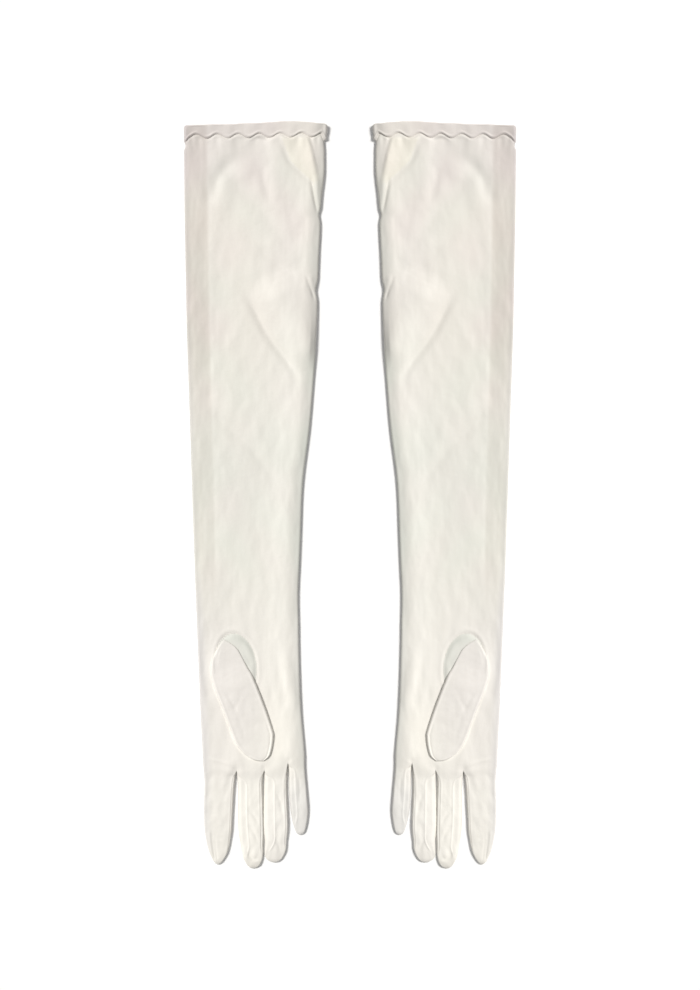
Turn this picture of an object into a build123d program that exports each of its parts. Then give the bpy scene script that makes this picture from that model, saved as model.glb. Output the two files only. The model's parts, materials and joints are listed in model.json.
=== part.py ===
"""A pair of opera gloves lying flat, palms up, thumbs folded over the palms.

Each glove is one cut of stretch satin (the trank) folded along the index side and closed by a
seam along the little-finger side, with a set-in thumb, forked strips (fourchettes) between the
fingers, and a turned-up hem that holds an elastic. The trank is cut at the elbow, the wrist and
the finger roots, where the cloth flexes, so that each length is its own solid.

Frame: millimetres, +Z up, origin on the table midway between the gloves and midway along them.
The fingertips point to -Y and the hems to +Y. The right-hand glove lies on the -X side, and the
left-hand glove is its mirror image about the YZ plane.
"""

from build123d import *
import math
import os

# Cloth and thread
WALL = 0.6  # one layer of satin
THREAD_R = 0.22
SEAM_GAP = 0.6  # space between two panels, which their seam thread crosses
JOINT_GAP = 0.3  # space between two lengths of the trank that flex against each other

# Heights of the flattened tubes of cloth
SLEEVE_HEIGHT = 8.0
HEM_HEIGHT = 10.0
STALL_HEIGHT = 6.0  # of each finger and of the thumb
TIP_HEIGHT = 3.0  # at the very tip of each stall
THUMB_LIFT = 0.3  # gap between the palm and the thumb lying on it

# Places along the glove
GLOVE_LENGTH = 596.0
HEM_TOP = GLOVE_LENGTH / 2
HEM_DEPTH = 11.0
HEM_LINE = HEM_TOP - HEM_DEPTH
ELBOW = 130.0
WRIST = -85.0
CROTCH_LINE = -217.0  # where the palm ends and the finger stalls begin
STUB = 9.0  # how far past its crotch each stall starts to flex
STUB_ROOT = 4.0  # how far each stub runs back into the palm

# Sleeve and palm outline of the right glove: y, fold edge x, seam edge x
OUTLINE = [
    (HEM_LINE, -132.0, -19.8),
    (224.0, -131.4, -23.8),
    (ELBOW, -129.6, -26.6),
    (60.0, -127.2, -31.6),
    (-20.0, -124.6, -38.9),
    (WRIST, -122.3, -41.8),
    (-160.0, -119.3, -40.0),
    (CROTCH_LINE, -116.6, -36.2),
]

# Hem
HEM_OVERHANG = 1.2  # how far the band stands past each edge of the sleeve
ELASTIC_THICK = 0.8
ELASTIC_WIDTH = 8.0
ELASTIC_PLAY = 0.1
WAVE_PITCH = 16.4  # of the elastic's wavy topstitch
WAVE_HEIGHT = 1.6

# Fingers: root centre x, crotch y, lean in degrees, length from its flex line, then widths at
# the shares of that length in FINGER_SHARES, then how much of each side the fourchette takes
FINGER_SHARES = (0.0, 0.30, 0.62, 0.84, 0.95, 1.0)
FINGERS = {
    "index": dict(
        x=-104.1, crotch=-217.0, lean=0.8, length=69.5,
        widths=(24.4, 24.0, 21.6, 16.5, 10.0, 5.6), radial=None, ulnar=2.4,
    ),
    "middle": dict(
        x=-80.0, crotch=-219.0, lean=3.1, length=70.0,
        widths=(19.2, 18.8, 18.4, 15.6, 10.0, 5.6), radial=6.2, ulnar=2.4,
    ),
    "ring": dict(
        x=-59.6, crotch=-218.0, lean=0.6, length=66.8,
        widths=(17.4, 17.8, 17.8, 15.2, 10.0, 5.6), radial=6.6, ulnar=2.4,
    ),
    "little": dict(
        x=-42.6, crotch=-210.0, lean=4.2, length=52.2,
        widths=(12.6, 13.8, 13.2, 10.8, 7.6, 5.6), radial=4.6, ulnar=None,
    ),
}
TIP_TAPER = 0.62  # the share of its length after which a stall gets lower towards its tip
TIP_BLOCK = 9.0  # length at each fingertip where front and back join and no fourchette runs
WIDE_STRIP = 4.0  # a strip wider than this on the palm side has rolled towards the palm
STRIP_ON_BACK = {True: 2.6, False: 5.0}  # what is left of it on the back: rolled or not

# Thumb, measured from its flex line in its own frame
THUMB_ROOT = (-96.2, -138.6)
THUMB_LEAN = 20.0
THUMB_STALL = ((0.0, 28.8), (-30.0, 31.4), (-58.0, 28.4), (-71.0, 20.0), (-80.0, 7.0))
THUMB_GUSSET = ((26.0, 8.0), (18.0, 20.0), (9.0, 27.0), (0.0, 28.8))
THUMB_HOLE = (9.0, 7.5)  # half-length along the thumb and half-width
THUMB_HOLE_AT = 12.0  # its centre, up from the flex line
THUMB_SEAM_FROM = -25.0  # the closing seam runs from here to the tip

SIDES = ("right", "left")


def interpolate(rows, y, column):
    """The value of one column at y, between rows that run from high y to low y."""
    for upper, lower in zip(rows, rows[1:]):
        if lower[0] <= y <= upper[0]:
            share = (upper[0] - y) / (upper[0] - lower[0])
            return upper[column] + share * (lower[column] - upper[column])
    raise ValueError("y is outside the outline")


def flat_section(y, x_low, x_high, z_low, z_high):
    """A flattened round face across the cloth tube, facing -Y."""
    centre = ((x_low + x_high) / 2, y, (z_low + z_high) / 2)
    across = Plane(origin=centre, x_dir=(1, 0, 0), z_dir=(0, -1, 0))
    return across * SlotOverall(x_high - x_low, z_high - z_low)


def stack(sections):
    """One solid through flattened sections listed from high y to low y."""
    return loft([flat_section(*s) for s in sections], ruled=True)


def inset(section, amount):
    y, x_low, x_high, z_low, z_high = section
    return (y, x_low + amount, x_high - amount, z_low + amount, z_high - amount)


def move_y(section, amount):
    return (section[0] + amount, *section[1:])


def cavity(sections, open_high=True, open_low=True):
    """The hollow inside stacked sections: past the end where open, short of it where closed."""
    inner = [inset(s, WALL) for s in sections]
    inner[0:1] = [move_y(inner[0], WALL), inner[0]] if open_high else [move_y(inner[0], -WALL)]
    inner[-1:] = [inner[-1], move_y(inner[-1], -WALL)] if open_low else [move_y(inner[-1], WALL)]
    return stack(inner)


def tube(sections, **ends):
    return stack(sections) - cavity(sections, **ends)


def block(x, y, z):
    """A box from its three (low, high) ranges."""
    size = [high - low for low, high in (x, y, z)]
    centre = [(high + low) / 2 for low, high in (x, y, z)]
    return Pos(*centre) * Box(*size)


def thread(points):
    """A thread along straight lines between points."""
    path = Polyline(*points)
    start = Plane(origin=path @ 0, z_dir=path % 0)
    return sweep(start * Circle(THREAD_R), path=path, transition=Transition.RIGHT)


def sleeve_sections(y_high, y_low):
    """Sections of the sleeve between two places, with the outline's own stations between."""
    between = [row[0] for row in OUTLINE if y_low < row[0] < y_high]
    return [
        (y, interpolate(OUTLINE, y, 1), interpolate(OUTLINE, y, 2), 0, SLEEVE_HEIGHT)
        for y in (y_high, *between, y_low)
    ]


def side_seam(sections):
    """The thread that closes a length of the trank along its seam edge."""
    return thread([(x_high, y, (z_low + z_high) / 2) for y, _, x_high, z_low, z_high in sections])


# --- Hem ---------------------------------------------------------------------------------------


def hem_section(y, amount=0.0):
    _, fold, seam = OUTLINE[0]
    return inset((y, fold - HEM_OVERHANG, seam + HEM_OVERHANG, 0, HEM_HEIGHT), amount)


def hem_ring(y_high, y_low, outer_inset, inner_inset):
    """A straight flattened ring between two heights and two insets from the band's outside."""
    length = y_high - y_low
    ring = extrude(flat_section(*hem_section(y_high, outer_inset)), amount=length)
    hole = extrude(flat_section(*hem_section(y_high + 1, inner_inset)), amount=length + 2)
    return ring - hole


def hem_parts():
    pocket = WALL
    facing = pocket + ELASTIC_THICK + 2 * ELASTIC_PLAY
    line = HEM_LINE + JOINT_GAP
    casing = hem_ring(HEM_TOP, line, 0, facing + WALL)
    casing -= hem_ring(HEM_TOP - WALL, line - 1, pocket, facing)
    top = HEM_TOP - WALL - (HEM_DEPTH - WALL - ELASTIC_WIDTH) / 2
    inner = pocket + ELASTIC_PLAY
    elastic = hem_ring(top, top - ELASTIC_WIDTH, inner, inner + ELASTIC_THICK)
    return {"hem_band": casing, "hem_elastic": elastic}


def hem_wave(z):
    """One side of the wavy topstitch, just below the band."""
    _, fold, seam = OUTLINE[0]
    margin = SLEEVE_HEIGHT
    low, high = fold + margin, seam - margin
    centre = HEM_LINE - WAVE_HEIGHT / 2 - 2 * THREAD_R
    steps = round((high - low) / WAVE_PITCH * 4)
    places = [low + (high - low) * i / steps for i in range(steps + 1)]
    path = Spline(
        *[
            (x, centre + WAVE_HEIGHT / 2 * math.cos(2 * math.pi * (x - low) / WAVE_PITCH), z)
            for x in places
        ]
    )
    start = Plane(origin=path @ 0, z_dir=path % 0)
    return sweep(start * Circle(THREAD_R), path=path)


def hem_thread():
    return Compound([*hem_wave(SLEEVE_HEIGHT - THREAD_R).solids(), *hem_wave(WALL / 2).solids()])


# --- Palm and fingers --------------------------------------------------------------------------


def finger_place(name):
    """Where a stall's own frame sits: its origin on the flex line, -Y towards the tip."""
    finger = FINGERS[name]
    return Pos(finger["x"], finger["crotch"] - STUB, 0) * Rot(0, 0, finger["lean"])


def finger_sections(name):
    finger = FINGERS[name]
    sections = []
    for share, width in zip(FINGER_SHARES, finger["widths"]):
        tapered = max(0.0, share - TIP_TAPER) / (1 - TIP_TAPER)
        thin = (STALL_HEIGHT - TIP_HEIGHT) / 2 * tapered
        y = -share * finger["length"]
        sections.append((y, -width / 2, width / 2, thin, STALL_HEIGHT - thin))
    sections[0] = move_y(sections[0], -JOINT_GAP / 2)
    return sections


def stub_sections(name):
    """The short start of a stall between the palm and its flex line."""
    half = FINGERS[name]["widths"][0] / 2
    return [(y, -half, half, 0, STALL_HEIGHT) for y in (STUB + STUB_ROOT, JOINT_GAP / 2)]


def thumb_hole(depth_low, depth_high, grow=0.0):
    """An oval post through the palm's upper layer where the thumb is set in."""
    length, width = (half + grow for half in THUMB_HOLE)
    oval = Pos(0, THUMB_HOLE_AT, depth_low) * Ellipse(width, length)
    return thumb_place() * extrude(oval, amount=depth_high - depth_low)


def palm_and_back():
    palm = sleeve_sections(WRIST - JOINT_GAP / 2, CROTCH_LINE)
    outer = stack(palm)
    inner = cavity(palm, open_low=False)
    for name in FINGERS:
        place = finger_place(name)
        outer += place * stack(stub_sections(name))
        inner += place * cavity(stub_sections(name))
    hole = thumb_hole(SLEEVE_HEIGHT - 2 * WALL, SLEEVE_HEIGHT + 1)
    return outer - inner - hole


def seam_lines(name):
    """Each fourchette seam of a stall as (edge, local x, True on the palm side). A strip is
    rolled, so it shows more on one side of the hand than on the other."""
    finger = FINGERS[name]
    half = finger["widths"][0] / 2
    lines = []
    for edge, sign in (("radial", -1), ("ulnar", 1)):
        on_palm = finger[edge]
        if on_palm is None:
            continue
        on_back = STRIP_ON_BACK[on_palm > WIDE_STRIP]
        lines.append((edge, sign * (half - on_palm), True))
        lines.append((edge, sign * (half - on_back), False))
    return lines


def finger_parts(name):
    """The stall, its fourchette strips and its seam thread, in the stall's own frame."""
    finger = FINGERS[name]
    whole = tube(finger_sections(name), open_low=False)
    root, tip = -JOINT_GAP / 2, -finger["length"] + TIP_BLOCK
    middle = STALL_HEIGHT / 2
    far = finger["widths"][1]
    stall, strips, stitches = whole, {}, []
    for edge, x, on_palm in seam_lines(name):
        z = (middle, STALL_HEIGHT + 1) if on_palm else (-1, middle)
        sign = 1 if x > 0 else -1
        near = x - sign * SEAM_GAP / 2
        far_side = x + sign * SEAM_GAP / 2
        stall -= block(sorted((near, sign * far)), (tip, root + 1), z)
        strip_end = tip + SEAM_GAP
        strip = whole & block(sorted((far_side, sign * far)), (strip_end, root + 1), z)
        strips[edge] = strips[edge] + strip if edge in strips else strip
        level = STALL_HEIGHT - WALL / 2 if on_palm else WALL / 2
        stitches.append(thread([(x, root - SEAM_GAP, level), (x, strip_end, level)]))
    parts = {f"{name}_stall": stall}
    parts |= {f"{name}_{edge}_fourchette": strip for edge, strip in strips.items()}
    if finger["ulnar"] is None:
        edge_line = [s for s in finger_sections(name) if s[0] >= tip]
        stitches.append(side_seam([move_y(edge_line[0], -SEAM_GAP), *edge_line[1:]]))
    loose = [solid for stitch in stitches for solid in stitch.solids()]
    return parts | {f"{name}_seam_thread": Compound(loose)}


# --- Thumb -------------------------------------------------------------------------------------


def thumb_place():
    return Pos(*THUMB_ROOT, 0) * Rot(0, 0, THUMB_LEAN)


def thumb_sections(rows):
    """Sections of the thumb lying on the palm. One narrower than it is high is made lower."""
    low = SLEEVE_HEIGHT + THUMB_LIFT
    return [(y, -w / 2, w / 2, low, low + min(STALL_HEIGHT, w - WALL)) for y, w in rows]


def thumb_parts():
    stall_rows = thumb_sections(THUMB_STALL)
    stall_rows[0] = move_y(stall_rows[0], -JOINT_GAP / 2)
    gusset_rows = thumb_sections(THUMB_GUSSET)
    gusset_rows[-1] = move_y(gusset_rows[-1], JOINT_GAP / 2)
    stall = thumb_place() * tube(stall_rows, open_low=False)
    low = SLEEVE_HEIGHT + THUMB_LIFT
    gusset = thumb_place() * tube(gusset_rows, open_high=False)
    gusset -= thumb_hole(low - 1, low + 2 * WALL)
    closing = thumb_place() * side_seam([s for s in stall_rows if s[0] < THUMB_SEAM_FROM])
    grow = WALL / 2
    rim = thumb_hole(SLEEVE_HEIGHT - WALL / 2, low + WALL / 2, grow + THREAD_R)
    rim -= thumb_hole(SLEEVE_HEIGHT - WALL, low + WALL, grow)
    return {
        "thumb_stall": stall,
        "thumb_gusset": gusset,
        "thumb_closing_thread": closing,
        "thumb_hole_thread": rim,
    }


# --- Whole glove -------------------------------------------------------------------------------


def right_glove():
    upper = sleeve_sections(HEM_LINE, ELBOW + JOINT_GAP / 2)
    forearm = sleeve_sections(ELBOW - JOINT_GAP / 2, WRIST + JOINT_GAP / 2)
    palm = sleeve_sections(WRIST - JOINT_GAP / 2, CROTCH_LINE)
    parts = hem_parts()
    parts["hem_thread"] = hem_thread()
    parts["upper_sleeve"] = tube(upper)
    parts["forearm_sleeve"] = tube(forearm)
    parts["palm_and_back"] = palm_and_back()
    for length, sections in (("upper", upper), ("forearm", forearm), ("palm", palm)):
        ends = [move_y(sections[0], -1), *sections[1:-1], move_y(sections[-1], 1)]
        parts[f"{length}_seam_thread"] = side_seam(ends)
    parts |= thumb_parts()
    for name in FINGERS:
        place = finger_place(name)
        parts |= {node: place * shape for node, shape in finger_parts(name).items()}
    return parts


def main():
    os.makedirs("parts", exist_ok=True)
    for node, shape in right_glove().items():
        for side in SIDES:
            solids = Compound(shape.solids())
            solids = mirror(solids, about=Plane.YZ) if side == "left" else solids
            export_step(solids, f"parts/{side}_{node}.step")


main()
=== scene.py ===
"""A pair of ivory satin opera gloves lying flat on a pale table, palms up, seen from straight above.

The right-hand glove is drawn as one welded skin, in millimetres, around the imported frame: its
outlines, finger directions and joint places are read from the frame's nodes and joints. The skin is
then cut along its sewn lines into the hem casing, sleeve, hand, thumb gusset, finger stalls and
fourchettes, each with the cloth's own thickness. The thumb, the elastic and the stitches are further
pieces. The left-hand glove is the mirror image about x = 0.
"""

import json
import math

import bpy
import numpy as np
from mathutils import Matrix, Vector


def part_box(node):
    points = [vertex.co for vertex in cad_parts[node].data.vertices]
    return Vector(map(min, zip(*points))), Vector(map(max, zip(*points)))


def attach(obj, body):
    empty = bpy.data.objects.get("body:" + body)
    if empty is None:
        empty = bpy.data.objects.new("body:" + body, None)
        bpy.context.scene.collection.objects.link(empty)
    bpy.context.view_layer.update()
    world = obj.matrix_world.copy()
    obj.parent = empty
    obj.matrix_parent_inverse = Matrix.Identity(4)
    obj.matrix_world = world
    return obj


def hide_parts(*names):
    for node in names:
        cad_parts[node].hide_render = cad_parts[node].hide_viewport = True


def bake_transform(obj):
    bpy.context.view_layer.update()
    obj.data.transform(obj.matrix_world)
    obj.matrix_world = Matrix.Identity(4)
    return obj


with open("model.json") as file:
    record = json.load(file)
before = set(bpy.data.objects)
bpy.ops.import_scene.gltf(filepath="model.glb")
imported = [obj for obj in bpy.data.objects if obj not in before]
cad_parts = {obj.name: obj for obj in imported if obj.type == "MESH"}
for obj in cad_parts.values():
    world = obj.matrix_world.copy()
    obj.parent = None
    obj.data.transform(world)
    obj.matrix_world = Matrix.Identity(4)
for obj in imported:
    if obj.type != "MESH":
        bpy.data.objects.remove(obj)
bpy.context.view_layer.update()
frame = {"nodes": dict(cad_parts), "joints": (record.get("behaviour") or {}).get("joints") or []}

MM = 0.001  # the frame is in metres, and everything below is in millimetres
JOINTS = {joint["name"]: joint for joint in frame["joints"]}
SIDES = {"right": 1, "left": -1}

# Cloth and thread
CLOTH = 0.4
THREAD_R = 0.2
STITCH_PITCH = 2.6
HEM_PITCH = 2.4  # of the stitches in the wavy row
FINE_PITCH = 2.2  # of those on the fingers and around the thumb hole

# Heights above the table
PALM_TOP = 4.4  # upper layer of the sleeve and the palm
STALL_TOP = 3.4
TIP_TOP = 2.4
THUMB_THICK = 2.8
HEM_TOP_Z = 5.4

# Edges of the flattened tube
FOLD_SHIFT = -0.8  # the fold lies this far outside the CAD edge
FOLD_RADIUS = 1.3  # the crisp fold on the index side
SEAM_RADIUS = 1.8  # the softer edge at the side seam
SEAM_SLOPE = 1.3  # how far the upper layer has come down where that edge starts
SEAM_SLOPE_WIDTH = 11.0
FOLD_SLOPE = 0.4
FOLD_SLOPE_WIDTH = 7.0

# Columns across each finger's share of the trank, from the fold to the side seam
FINGER_COLUMNS = {"index": 28, "middle": 24, "ring": 24, "little": 20}
FINGERS = list(FINGER_COLUMNS)
ACROSS = sum(FINGER_COLUMNS.values())
SIDE_COLUMNS = 12  # around each fourchette, from palm to back
GATHER = 0.7  # how closely the columns gather at each edge
ROW_STEP = 1.4  # between rows along the arm

# Hem: a casing turned down inside the mouth, closed by a wavy row of stitches
HEM_DEPTH = 11.0
WAVE_PITCH = 16.6
WAVE_HEIGHT = 1.8
WAVE_START = -23.2
CASING = 1.6  # from the outer cloth to the facing behind the elastic
ELASTIC_THICK = 0.5
FOLD_OVERHANG = 0.6  # how far the casing stands past the sleeve at each edge
SEAM_OVERHANG = 2.6

# Fingers
STUB = 9.0  # from a finger's first row to its hinge
CROTCH_DROP = (3.0, 1.5, 3.6)  # how far each crotch has slid towards the hinges
TIP_BLOCK = 9.0  # where the fourchettes stop short of the fingertip
TIP_ROUND = 6.0  # the finger's end, where its rows lie closer
TIP_CLOSING = 3.6  # over which the finger is drawn closed at its end
GROOVE = 0.35  # how deep the seams between a finger's pieces are drawn in
FINGER_SHAPE = {  # drift across (negative towards the thumb), fullness of the tip, and extra length
    "index": (-1.8, -0.06, 0.2),
    "middle": (-0.9, 0.12, 0.9),
    "ring": (-0.4, 0.2, 0.3),
    "little": (-0.8, 0.0, 0.9),
}
FINGER_SWELL = {  # each: side (-1 is the thumb's), distance from the hinge, reach, and amount outwards
    "index": ((1, 14, 14, -0.7), (1, 68, 4, -1.0)),
    "middle": ((-1, 34, 28, 1.3), (1, 30, 26, 0.6), (1, 66, 6, 0.7)),
    "ring": ((-1, 28, 26, 0.6), (-1, 63, 6, 2.0), (1, 36, 18, 1.2), (1, 64, 5, -0.7)),
    "little": ((1, 33, 14, 1.0),),
}
STRIPS = {  # width of each fourchette seen from the palm side: thumb side, little-finger side
    "index": (0.0, 1.6),
    "middle": (6.6, 2.2),
    "ring": (7.6, 1.6),
    "little": (4.2, 0.0),
}
BACK_STRIPS = {  # the same seen from the back
    "index": (0.0, 3.6),
    "middle": (2.2, 3.6),
    "ring": (2.2, 3.6),
    "little": (2.2, 0.0),
}
FINGER_CREASES = {  # each: a path across and along the finger, its depth and its width
    "index": (
        (((-5.4, 40), (-4.4, 54), (-2.4, 68)), 0.6, 0.8),
        (((-3.0, 44), (-2.2, 56), (-0.8, 68)), 0.5, 0.7),
        (((-4, 44), (0, 48), (4, 49)), 0.3, 1.5),
        (((-8, -2), (0, -5), (7, -7)), 0.2, 2.0),
    ),
    "middle": (
        (((-3, 22), (2, 27), (6, 35)), 0.4, 1.3),
        (((-3, 36), (2, 41), (5, 50)), 0.4, 1.3),
        (((-5, 57), (0, 63), (5, 62)), 0.7, 1.3),
    ),
    "ring": (
        (((0, 10), (4, 18), (5, 28)), 0.3, 1.2),
        (((-2, 44), (2, 52), (4, 60)), 0.35, 1.2),
    ),
    "little": ((((1, 4), (1.5, 16), (0.5, 30)), 0.3, 1.0),),
}

# Joints at which pieces are left unattached rather than joined to a body; the stretches, from and to along
# its child's direction from the hinge, are not read here
BENDS = {"elbow": (-35, 35), "wrist": (-22, 22), "thumb_flex": (-12, 14)}
BENDS.update({f"{name}_flex": (-5, 12) for name in FINGERS})

# Thumb outline: across and along its own direction, from its hinge
THUMB_LEFT = (
    (3.7, -23.6), (-2.2, -19.8), (-7.6, -14.6), (-12.6, -8.0), (-15.6, 0.0), (-16.6, 10.0),
    (-16.2, 30.0), (-15.9, 56.0), (-13.8, 65.0), (-10.2, 71.4), (-5.6, 76.0), (0.5, 78.8),
)
THUMB_RIGHT = (
    (3.7, -23.6), (8.2, -18.0), (11.4, -12.0), (12.6, -4.5), (13.8, 3.5), (15.6, 14.0),
    (16.3, 38.0), (15.7, 58.5), (14.4, 63.5), (12.3, 68.0), (9.4, 72.8), (6.2, 76.6), (0.5, 78.8),
)
THUMB_RADII = (1.8, 1.6)  # of its left and right edges
THUMB_ROWS, THUMB_COLUMNS = 104, 36
THUMB_CREASES = (  # each: a path on the thumb, its depth and its width
    (((-9.5, 16), (-7.4, 26), (-6.0, 35)), 0.35, 1.1),
    (((5.0, 18), (-1.0, 26), (-6.3, 31), (-8.5, 40)), 0.25, 1.3),
    (((-5.5, 33), (-6.8, 45), (-7.4, 60)), 0.25, 1.6),
    (((8.0, 44), (2.0, 52), (0.0, 62)), 0.18, 2.0),
)
GUSSET_RIDGE = (  # across and along the thumb's direction, from its hinge
    (12.9, -10.0), (14.0, -3.0), (15.4, 5.0), (16.8, 13.0),
)
HOLE_CENTRE = (5.2, 2.6)  # of the thumb hole, from the hinge
HOLE_RADII = (16.2, 25.6)
HOLE_LEAN = math.radians(8)
HOLE_BULGE = 0.7


# --- Small maths ---

RIPPLE_WAVES = 18  # in each ripple's sum


def smooth(value, low, high):
    """0 up to low, 1 from high on, and a soft rise between them."""
    t = np.clip((np.asarray(value, float) - low) / (high - low), 0, 1)
    return t * t * (3 - 2 * t)


def bump(value, centre, half):
    """1 at the centre, falling off to both sides."""
    return np.exp(-(((np.asarray(value, float) - centre) / half) ** 2))


def rounded(share):
    """A quarter circle that rises from 0 to 1 as share does."""
    return np.sqrt(np.clip(1 - (1 - np.clip(share, 0, 1)) ** 2, 0, 1))


def eased(count, gather):
    """count steps from 0 to 1, gathered towards both ends."""
    t = np.linspace(0, 1, count + 1)
    return t - gather * np.sin(2 * math.pi * t) / (2 * math.pi)


def blur(values, reach):
    """A moving average, twice, that keeps both ends."""
    kernel = np.ones(2 * reach + 1) / (2 * reach + 1)
    for _ in range(2):
        before = 2 * values[0] - values[reach:0:-1]
        after = 2 * values[-1] - values[-2 : -reach - 2 : -1]
        values = np.convolve(np.concatenate([before, values, after]), kernel, "valid")
    return values


def unit(vectors):
    return vectors / np.maximum(np.linalg.norm(vectors, axis=-1, keepdims=True), 1e-12)


def lengths(path):
    """The length of each stretch of a path, and how far along it each of its points is."""
    steps = np.linalg.norm(np.diff(path, axis=0), axis=1)
    return steps, np.concatenate([[0], np.cumsum(steps)])


def curve(points, count):
    """count + 1 points spaced evenly along a smooth line through points."""
    p = np.asarray(points, float)
    p = np.vstack([2 * p[0] - p[1], p, 2 * p[-1] - p[-2]])
    t = np.linspace(0, 1, 24, endpoint=False)[:, None]
    stretches = []
    for a, b, c, d in zip(p, p[1:], p[2:], p[3:]):
        bent = (2 * a - 5 * b + 4 * c - d) * t**2 + (3 * b - a - 3 * c + d) * t**3
        stretches.append(0.5 * (2 * b + (c - a) * t + bent))
    dense = np.vstack([*stretches, p[-2]])
    _, reach = lengths(dense)
    at = np.linspace(0, reach[-1], count + 1)
    return np.column_stack([np.interp(at, reach, dense[:, k]) for k in range(p.shape[1])])


def ripple(x, y, length, seed):
    """A soft random height field of about this wavelength, between about -1 and 1."""
    random = np.random.default_rng(seed)
    total = np.zeros(np.broadcast(x, y).shape)
    for _ in range(RIPPLE_WAVES):
        turn = random.uniform(0, 2 * math.pi)
        phase = random.uniform(0, 2 * math.pi)
        pace = 2 * math.pi / (length * random.uniform(0.7, 1.6))
        total += np.cos(pace * (x * math.cos(turn) + y * math.sin(turn)) + phase)
    return total / math.sqrt(RIPPLE_WAVES)


def along_path(x, y, path):
    """Signed distance to a line through points (positive to its left) and the share along it."""
    path = np.asarray(path, float)
    steps, starts = lengths(path)
    best = np.full(x.shape, np.inf)
    signed, share = np.zeros(x.shape), np.zeros(x.shape)
    for a, b, start, step in zip(path, path[1:], starts, steps):
        d = (b - a) / step
        t = np.clip((x - a[0]) * d[0] + (y - a[1]) * d[1], 0, step)
        gap_x, gap_y = x - a[0] - t * d[0], y - a[1] - t * d[1]
        gap = np.hypot(gap_x, gap_y)
        near = gap < best
        best = np.where(near, gap, best)
        signed = np.where(near, np.sign(d[0] * gap_y - d[1] * gap_x) * gap, signed)
        share = np.where(near, (start + t) / starts[-1], share)
    return signed, share


# --- Outlines read from the frame ---


def node_edges(names):
    ends = []
    for name in names:
        mesh = frame["nodes"][name].data
        points = np.empty(len(mesh.vertices) * 3)
        mesh.vertices.foreach_get("co", points)
        pairs = np.empty(len(mesh.edges) * 2, np.int64)
        mesh.edges.foreach_get("vertices", pairs)
        ends.append(points.reshape(-1, 3)[pairs.reshape(-1, 2)] / MM)
    return np.concatenate(ends)


def spans(names, origin, direction, distances):
    """The lowest and highest reach of CAD nodes across a direction, at distances along it."""
    along = np.array(direction, float)
    across = np.array([-along[1], along[0]])
    ends = node_edges(names)[..., :2] - np.array(origin, float)
    a, c = ends @ along, ends @ across
    low, high = [], []
    for d in distances:
        crossing = (a.min(1) <= d) & (a.max(1) >= d) & (np.ptp(a, axis=1) > 1e-6)
        t = (d - a[crossing, 0]) / (a[crossing, 1] - a[crossing, 0])
        reach = c[crossing, 0] + t * (c[crossing, 1] - c[crossing, 0])
        low.append(reach.min())
        high.append(reach.max())
    return np.array(low), np.array(high)


def hinge(name):
    """A hinge's place in millimetres and the direction in which its child points."""
    joint = JOINTS[f"right_{name}"]
    axis = joint["axis"]
    return np.array(joint["pos_m"]) / MM, np.array([-axis[1], axis[0]])


ELBOW_Y = hinge("elbow")[0][1]
WRIST_Y = hinge("wrist")[0][1]
SPLIT_Y = (ELBOW_Y + WRIST_Y) / 2  # where the sleeve's piece meets the hand's
HEM_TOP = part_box("right_hem_band")[1].y / MM
HEM_LINE = HEM_TOP - HEM_DEPTH
THUMB_HINGE, THUMB_WAY = hinge("thumb_flex")
THUMB_ACROSS = np.array([-THUMB_WAY[1], THUMB_WAY[0]])
HOLE_MIDDLE = THUMB_HINGE[:2] + HOLE_CENTRE


def crotches():
    """Between neighbouring fingers: x and y of the foot of the gap."""
    found = []
    for one, other, drop in zip(FINGERS, FINGERS[1:], CROTCH_DROP):
        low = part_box(f"right_{other}_radial_fourchette")[0].x
        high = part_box(f"right_{one}_ulnar_fourchette")[1].x
        top = max(hinge(f"{one}_flex")[0][1], hinge(f"{other}_flex")[0][1]) + STUB
        found.append(((low + high) / 2 / MM, top - drop))
    return found


CROTCHES = crotches()
LAST_Y = CROTCHES[0][1] + CROTCH_DROP[0]  # of the hand's last straight row


def side_edges():
    """The tube's fold edge and seam edge, as x at places along y from the hand to the hem."""
    places, fold, seam = [], [], []
    for name, low, high in (
        ("right_palm_and_back", LAST_Y + 0.5, WRIST_Y - 0.5),
        ("right_forearm_sleeve", WRIST_Y + 0.5, ELBOW_Y - 0.5),
        ("right_upper_sleeve", ELBOW_Y + 0.5, HEM_LINE - 0.5),
    ):
        ys = np.linspace(low, high, 90)
        first, last = spans([name], (0, 0), (0, -1), -ys)
        places.append(ys)
        fold.append(first)
        seam.append(last)
    ys = np.linspace(LAST_Y, HEM_LINE, 480)
    places = np.concatenate(places)
    fold_x = blur(np.interp(ys, places, np.concatenate(fold)), 14)
    seam_x = blur(np.interp(ys, places, np.concatenate(seam)), 14)
    return ys, fold_x, seam_x


EDGE_Y, FOLD_X, SEAM_X = side_edges()

# Where the soft seam edge swells or is pinched in: distance below the hem line, reach, amount
SEAM_SHAPE = (
    (2.0, 5.0, -0.8), (30.0, 14.0, 1.2), (63.0, 4.0, -1.2), (76.0, 10.0, 0.3), (104.0, 12.0, -0.2),
    (123.0, 6.0, -1.6), (180.0, 16.0, 0.2), (275.0, 30.0, -1.6), (362.0, 14.0, -0.2), (389.0, 12.0, 0.2),
)


def fold_edge(y):
    return np.interp(y, EDGE_Y, FOLD_X) + FOLD_SHIFT + 1.2 * bump(y, HEM_LINE - 3, 3.5)


def seam_edge(y):
    x = np.interp(y, EDGE_Y, SEAM_X)
    for below, reach, amount in SEAM_SHAPE:
        x = x + amount * bump(y, HEM_LINE - below, reach)
    return x


def share_across(x, y):
    """0 at the fold edge and 1 at the seam edge."""
    return (x - fold_edge(y)) / (seam_edge(y) - fold_edge(y))


def band_width(y):
    """How far from the fold the soft ridge beside it lies."""
    return 16.5 + 2.0 * smooth(y, LAST_Y, HEM_LINE)


# --- Relief of the upper layer ---

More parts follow.
